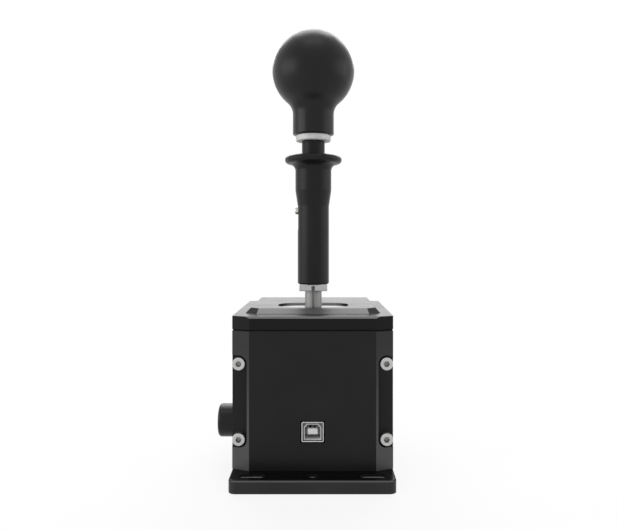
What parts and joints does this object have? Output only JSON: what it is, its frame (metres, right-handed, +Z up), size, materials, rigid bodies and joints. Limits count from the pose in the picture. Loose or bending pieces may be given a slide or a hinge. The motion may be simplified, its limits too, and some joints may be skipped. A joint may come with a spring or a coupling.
{
  "type": "sim racing gear shifter",
  "caption": "Sim racing H-pattern gear shifter: black metal box on a slotted base plate, rocking lever with ball knob, lift-up reverse lock-out sleeve, side adjuster knob and USB socket.",
  "frame": {"origin": "middle of the base plate's underside", "axes": "+X right as the USB socket side is seen and along the lever's throw, +Y away from the socket side, +Z up along the lever"},
  "size_m": [0.1004, 0.13, 0.2584],
  "materials": {
    "anodised_black": "satin black anodised",
    "coated_black": "satin black",
    "knob_black": "satin, fine grain",
    "socket_screw": "zinc plated",
    "bright_steel": "turned",
    "machined_aluminium": "machined",
    "hard_steel": "ground",
    "spring_steel": "drawn wire",
    "bush_bronze": "sintered",
    "insert_brass": "turned",
    "bumper_rubber": "matte",
    "slider_plastic": "smooth",
    "board_laminate": "solder mask",
    "chip_plastic": "moulded",
    "socket_plastic": "moulded",
    "socket_shell": "tin plated",
    "magnet_nickel": "nickel plated"
  },
  "bodies": {
    "housing": {"base_plate": "anodised_black", "front_panel": "anodised_black", "rear_panel": "anodised_black", "left_side_plate": "anodised_black", "right_side_plate": "anodised_black", "top_cover": "anodised_black", "panel_screws": "socket_screw", "tie_screws": "socket_screw", "dust_guide": "slider_plastic", "guide_screws": "socket_screw", "lane_bearings": "bright_steel", "gate_plate": "hard_steel", "gate_posts": "machined_aluminium", "gate_screws": "socket_screw", "lockout_block": "hard_steel", "plunger_housing": "machined_aluminium", "circuit_board": "board_laminate", "board_parts": "chip_plastic", "board_standoffs": "machined_aluminium", "board_screws": "socket_screw", "usb_shell": "socket_shell", "usb_insulator": "socket_plastic", "usb_contacts": "insert_brass", "sensor_board": "board_laminate", "hall_sensor": "chip_plastic", "pin_header": "chip_plastic"},
    "yoke": {"gimbal_yoke": "machined_aluminium", "lane_shafts": "bright_steel", "throw_bushes": "bush_bronze", "lane_cam": "hard_steel", "cam_screws": "socket_screw", "throw_bumpers": "bumper_rubber", "detent_body": "hard_steel", "detent_spring": "spring_steel", "detent_lock_nut": "hard_steel"},
    "lever": {"lever_shaft": "bright_steel", "pivot_block": "machined_aluminium", "throw_pins": "bright_steel", "detent_plate": "hard_steel", "lever_magnet": "magnet_nickel", "stop_collar": "bright_steel", "spring_stop": "machined_aluminium", "lever_neck": "coated_black", "knob_ring": "bright_steel", "knob_insert": "insert_brass", "shift_knob": "knob_black"},
    "lift_collar": {"lift_sleeve": "coated_black", "cross_screw": "socket_screw", "pull_rod": "bright_steel", "sleeve_spring": "spring_steel"},
    "detent_ball": {"detent_ball": "hard_steel"},
    "dust_slider_y": {"dust_plate_lower": "slider_plastic"},
    "dust_slider_x": {"dust_plate_upper": "machined_aluminium"},
    "adjuster": {"adjuster_knob": "coated_black", "adjuster_screw": "hard_steel"},
    "spring_seat": {"spring_seat": "hard_steel", "centring_spring": "spring_steel"},
    "centring_plunger": {"centring_plunger": "hard_steel"}
  },
  "joints": [
    {"name": "lane_select", "type": "hinge", "parent": "housing", "child": "yoke", "pos_m": [0, -0.01, 0.054], "axis": [1, 0, 0], "range_deg": [-6.5, 6.5], "stiffness_Nm_per_rad": 1.5},
    {"name": "throw", "type": "hinge", "parent": "yoke", "child": "lever", "pos_m": [0, -0.01, 0.054], "axis": [0, 1, 0], "range_deg": [-11, 11]},
    {"name": "collar_lift", "type": "slide", "parent": "lever", "child": "lift_collar", "axis": [0, 0, 1], "range_m": [0, 0.0082], "stiffness_N_per_m": 500, "springref_m": -0.006, "deforming": ["sleeve_spring"]},
    {"name": "dust_follow_y", "type": "slide", "parent": "housing", "child": "dust_slider_y", "axis": [0, 1, 0], "range_m": [-0.00417, 0.00417]},
    {"name": "dust_follow_x", "type": "slide", "parent": "dust_slider_y", "child": "dust_slider_x", "axis": [1, 0, 0], "range_m": [-0.00713, 0.00713]},
    {"name": "adjuster_turn", "type": "hinge", "parent": "housing", "child": "adjuster", "pos_m": [-0.044, -0.01, 0.0241], "axis": [1, 0, 0], "range_deg": [0, 1080]},
    {"name": "seat_follow", "type": "slide", "parent": "housing", "child": "spring_seat", "axis": [1, 0, 0], "range_m": [0, 0.00301], "deforming": ["centring_spring"]},
    {"name": "plunger_press", "type": "slide", "parent": "housing", "child": "centring_plunger", "axis": [-1, 0, 0], "range_m": [0, 0.0008], "stiffness_N_per_m": 1000, "springref_m": -0.002},
    {"name": "ball_press", "type": "slide", "parent": "yoke", "child": "detent_ball", "axis": [0, 1, 0], "range_m": [0, 0.0006], "stiffness_N_per_m": 500, "springref_m": -0.001, "deforming": ["detent_spring"]}
  ],
  "couplings": [
    {"joint": "dust_follow_y", "follows": "lane_select", "m_per_rad": -0.036557},
    {"joint": "dust_follow_x", "follows": "throw", "m_per_rad": 0.037056},
    {"joint": "seat_follow", "follows": "adjuster_turn", "m_per_rad": 0.00015915}
  ]
}
